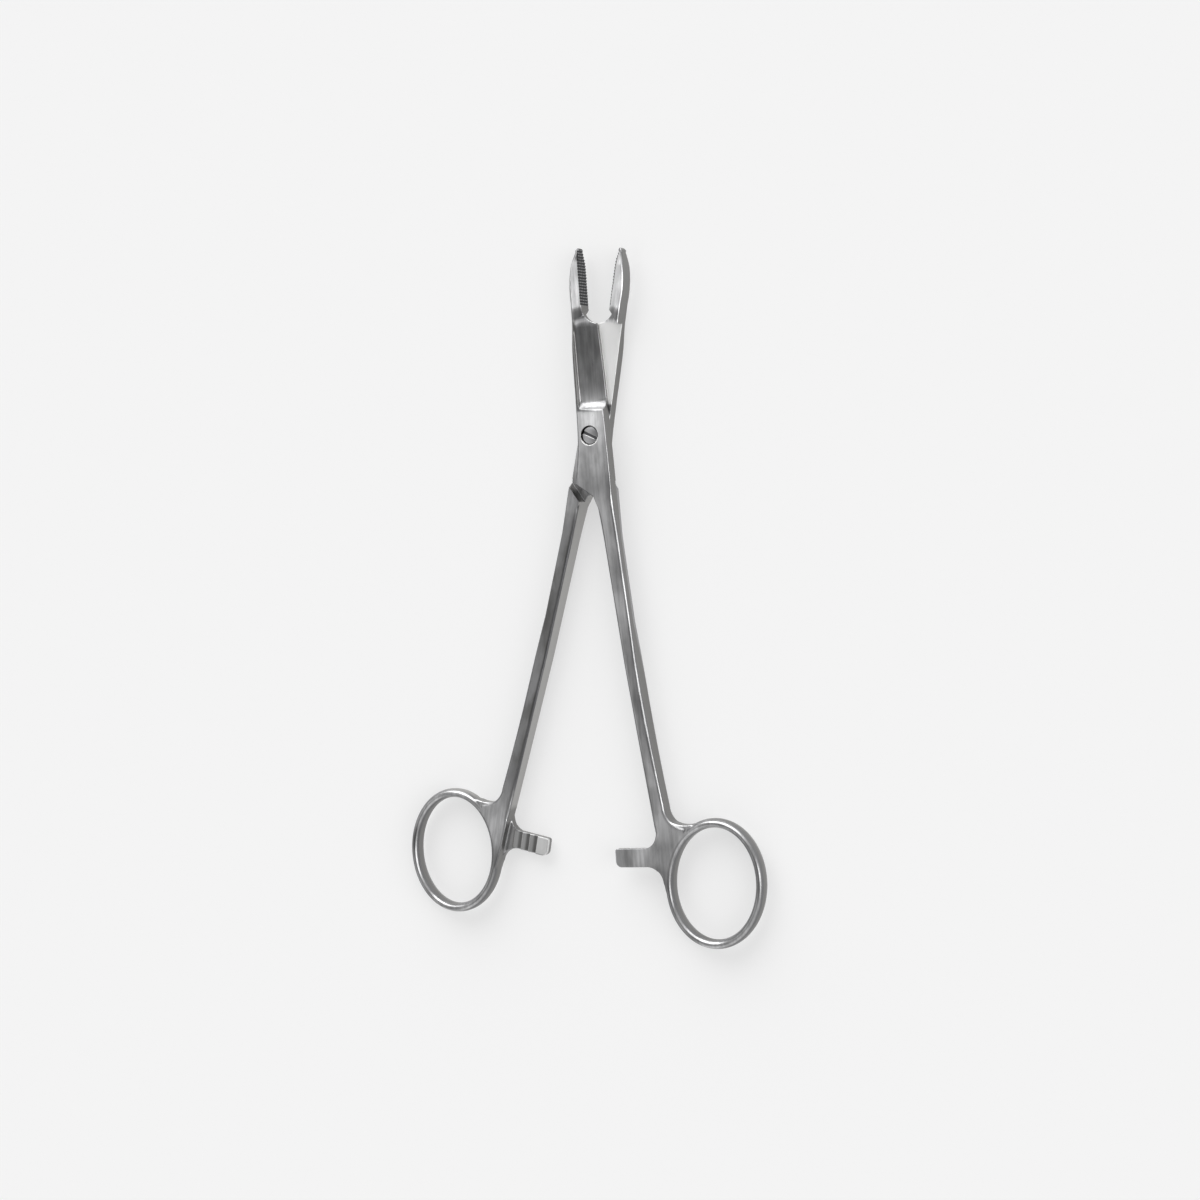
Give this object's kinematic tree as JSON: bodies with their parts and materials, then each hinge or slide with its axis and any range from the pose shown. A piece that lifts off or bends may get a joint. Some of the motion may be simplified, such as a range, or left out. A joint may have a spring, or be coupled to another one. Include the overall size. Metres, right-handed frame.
{
  "type": "surgical needle holder",
  "caption": "Ring-handled surgical needle holder with short serrated jaws, scissor blades behind them, a lap joint on a slotted screw and a ratchet between the rings.",
  "frame": {"origin": "on the pivot screw's axis, at the back face of the lap joint, which is the face the instrument rests on", "axes": "+Z along the screw's axis, out of the front face that carries the screw's slotted head; +Y towards the jaw tips; +X towards the front half's finger ring"},
  "size_m": [0.1046, 0.1754, 0.0064],
  "materials": {
    "satin_steel": "satin brushed stainless steel, brightened on its rounded edges",
    "screw_steel": "turned stainless steel, slightly darker than the halves"
  },
  "bodies": {
    "rear_side": {"rear_half": "satin_steel", "pivot_screw": "screw_steel"},
    "front_side": {"front_half": "satin_steel"}
  },
  "joints": [
    {"name": "pivot", "type": "hinge", "parent": "rear_side", "child": "front_side", "pos_m": [0, 0, 0.0032], "axis": [0, 0, 1], "range_deg": [-14, 31]}
  ]
}
